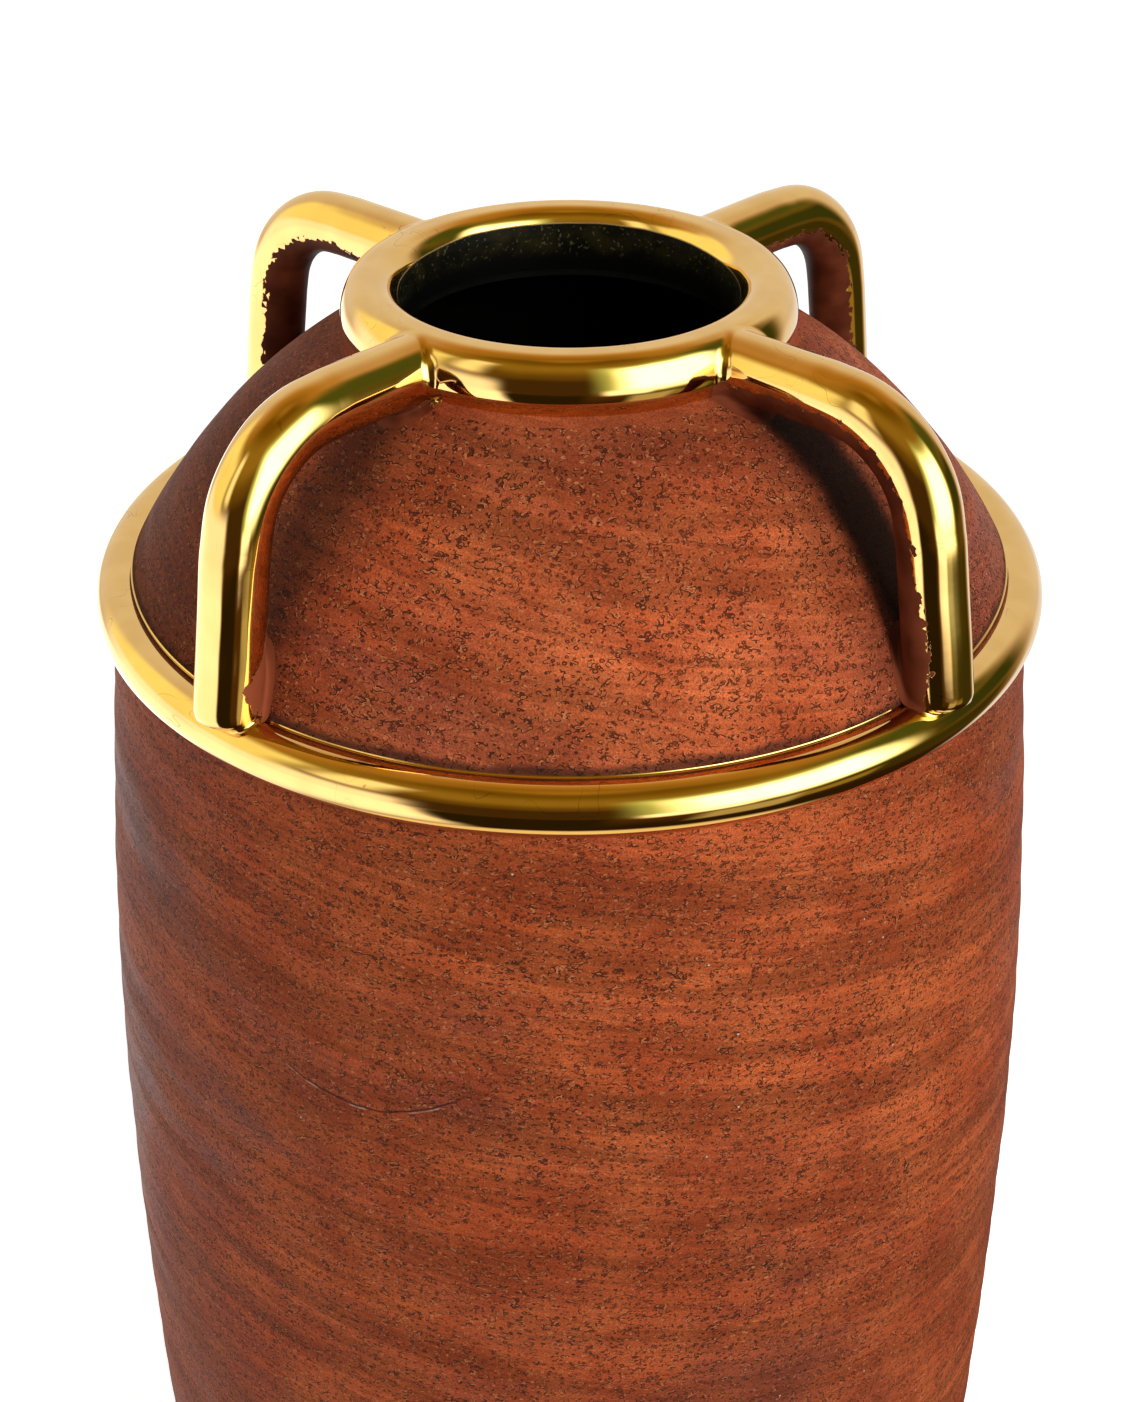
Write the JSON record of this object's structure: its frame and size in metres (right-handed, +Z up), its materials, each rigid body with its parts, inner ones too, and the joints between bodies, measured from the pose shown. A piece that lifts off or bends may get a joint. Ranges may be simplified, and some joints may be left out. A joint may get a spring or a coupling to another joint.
{
  "type": "hydria jar",
  "caption": "Tall ovoid terracotta jar with a gilded coil lip, a gilded coil round the shoulder, and bent coil handles between them.",
  "frame": {"origin": "centre of the foot, on the surface that the jar stands on", "axes": "+Z up along the jar's axis; the handles stand on +X, +Y, -X and -Y"},
  "size_m": [0.3187, 0.3188, 0.7],
  "materials": {
    "terracotta": "matt unglazed terracotta with fine pores and brushed darker slip, black glaze inside",
    "gold_lustre": "mirror gold lustre over glazed ceramic coils, bare terracotta on the undersides"
  },
  "bodies": {
    "root": {"foot_ring": "terracotta", "base_slab": "terracotta", "lower_wall": "terracotta", "upper_wall": "terracotta", "shoulder_dome": "terracotta", "neck_collar": "terracotta", "lip_ring": "gold_lustre", "shoulder_ring": "gold_lustre", "handle_front": "gold_lustre", "handle_right": "gold_lustre", "handle_back": "gold_lustre", "handle_left": "gold_lustre"}
  },
  "joints": []
}
